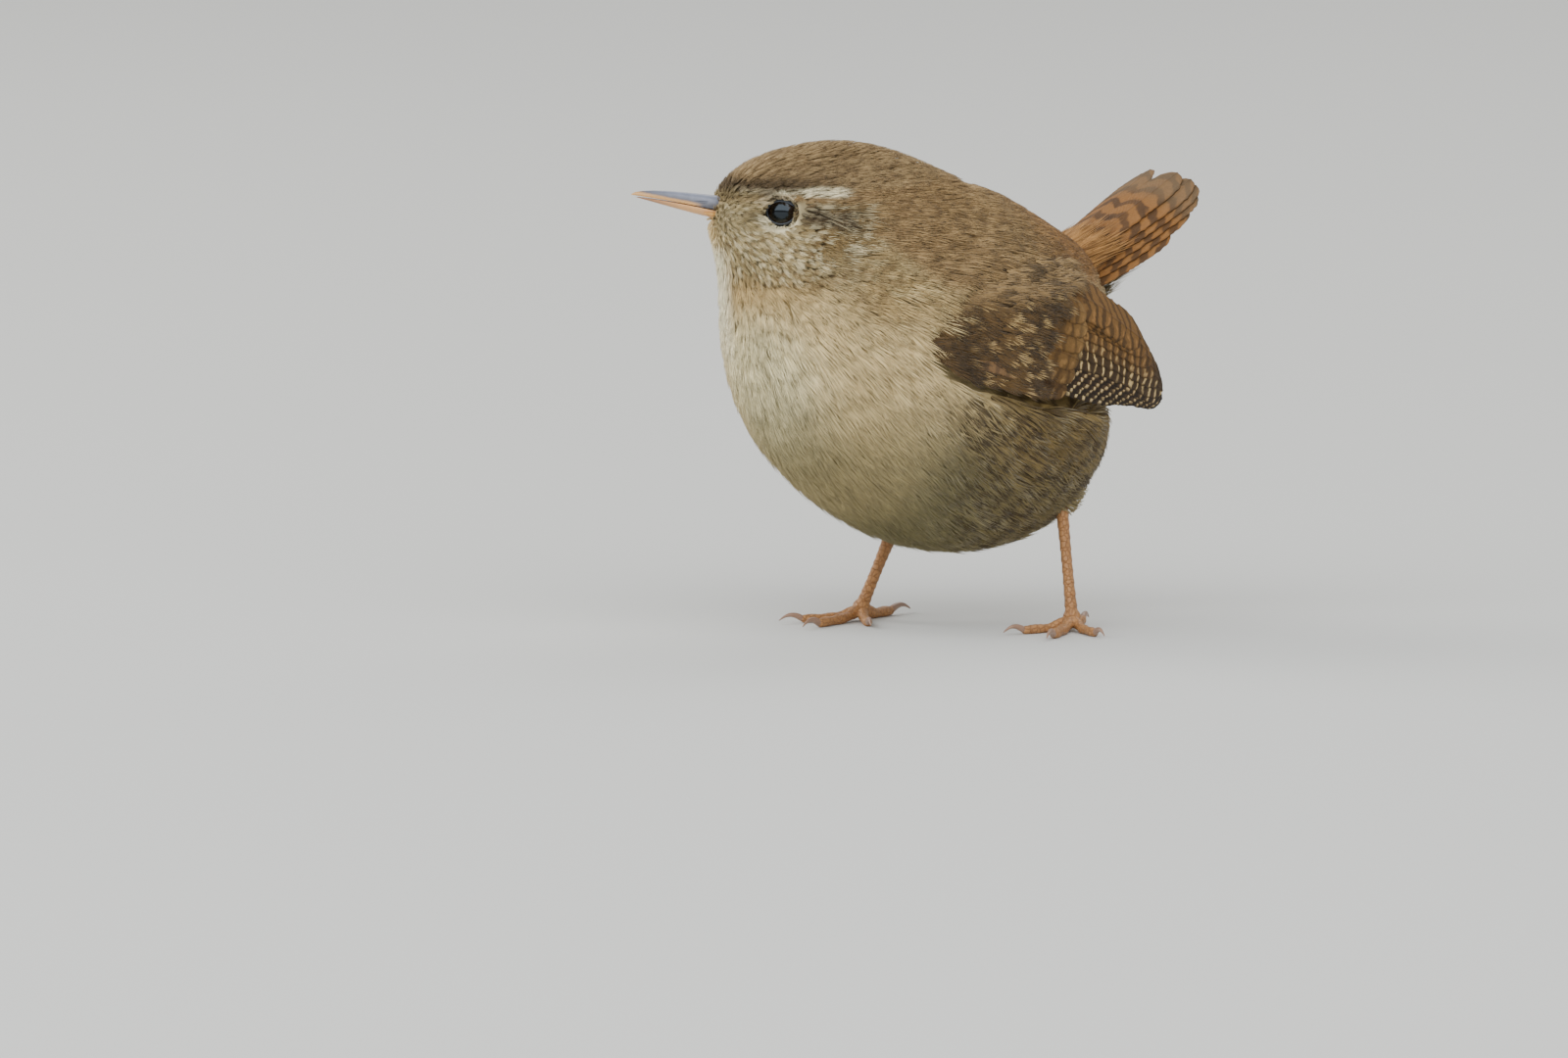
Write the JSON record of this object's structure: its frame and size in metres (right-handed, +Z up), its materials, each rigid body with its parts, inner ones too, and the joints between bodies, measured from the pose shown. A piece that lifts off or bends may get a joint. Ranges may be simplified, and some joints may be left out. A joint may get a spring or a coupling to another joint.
{
  "type": "wren",
  "caption": "Life-size wren at rest: round fluffed body, head turned to its right, fine bill, cocked tail, spotted wings at its sides, standing on two long-toed feet.",
  "frame": {"origin": "on the floor under the middle of the bounding box", "axes": "+Z up; the body faces -Y; +X is the bird's left"},
  "size_m": [0.0536, 0.078, 0.066],
  "materials": {
    "plumage": "matt warm brown feathers",
    "breast": "matt buff feathers, barred at the flanks",
    "wing": "rufous vanes barred with black and pale spots",
    "tail": "rufous vanes with dark bars",
    "upper_bill": "smooth horn, dark grey",
    "lower_bill": "smooth horn, orange-buff",
    "eye": "wet black-brown",
    "leg": "scaled skin, pinkish orange-brown",
    "claw": "smooth horn, brown"
  },
  "bodies": {
    "root": {"head": "plumage", "neck": "plumage", "torso": "breast", "bill_upper": "upper_bill", "bill_lower": "lower_bill", "eye_left": "eye", "eye_right": "eye", "wing_left": "wing", "wing_right": "wing", "tail": "tail", "thigh_left": "plumage", "tarsus_left": "leg", "hallux_left": "leg", "claw_hallux_left": "claw", "toe_inner_left": "leg", "claw_toe_inner_left": "claw", "toe_middle_left": "leg", "claw_toe_middle_left": "claw", "toe_outer_left": "leg", "claw_toe_outer_left": "claw", "thigh_right": "plumage", "tarsus_right": "leg", "hallux_right": "leg", "claw_hallux_right": "claw", "toe_inner_right": "leg", "claw_toe_inner_right": "claw", "toe_middle_right": "leg", "claw_toe_middle_right": "claw", "toe_outer_right": "leg", "claw_toe_outer_right": "claw"}
  },
  "joints": []
}
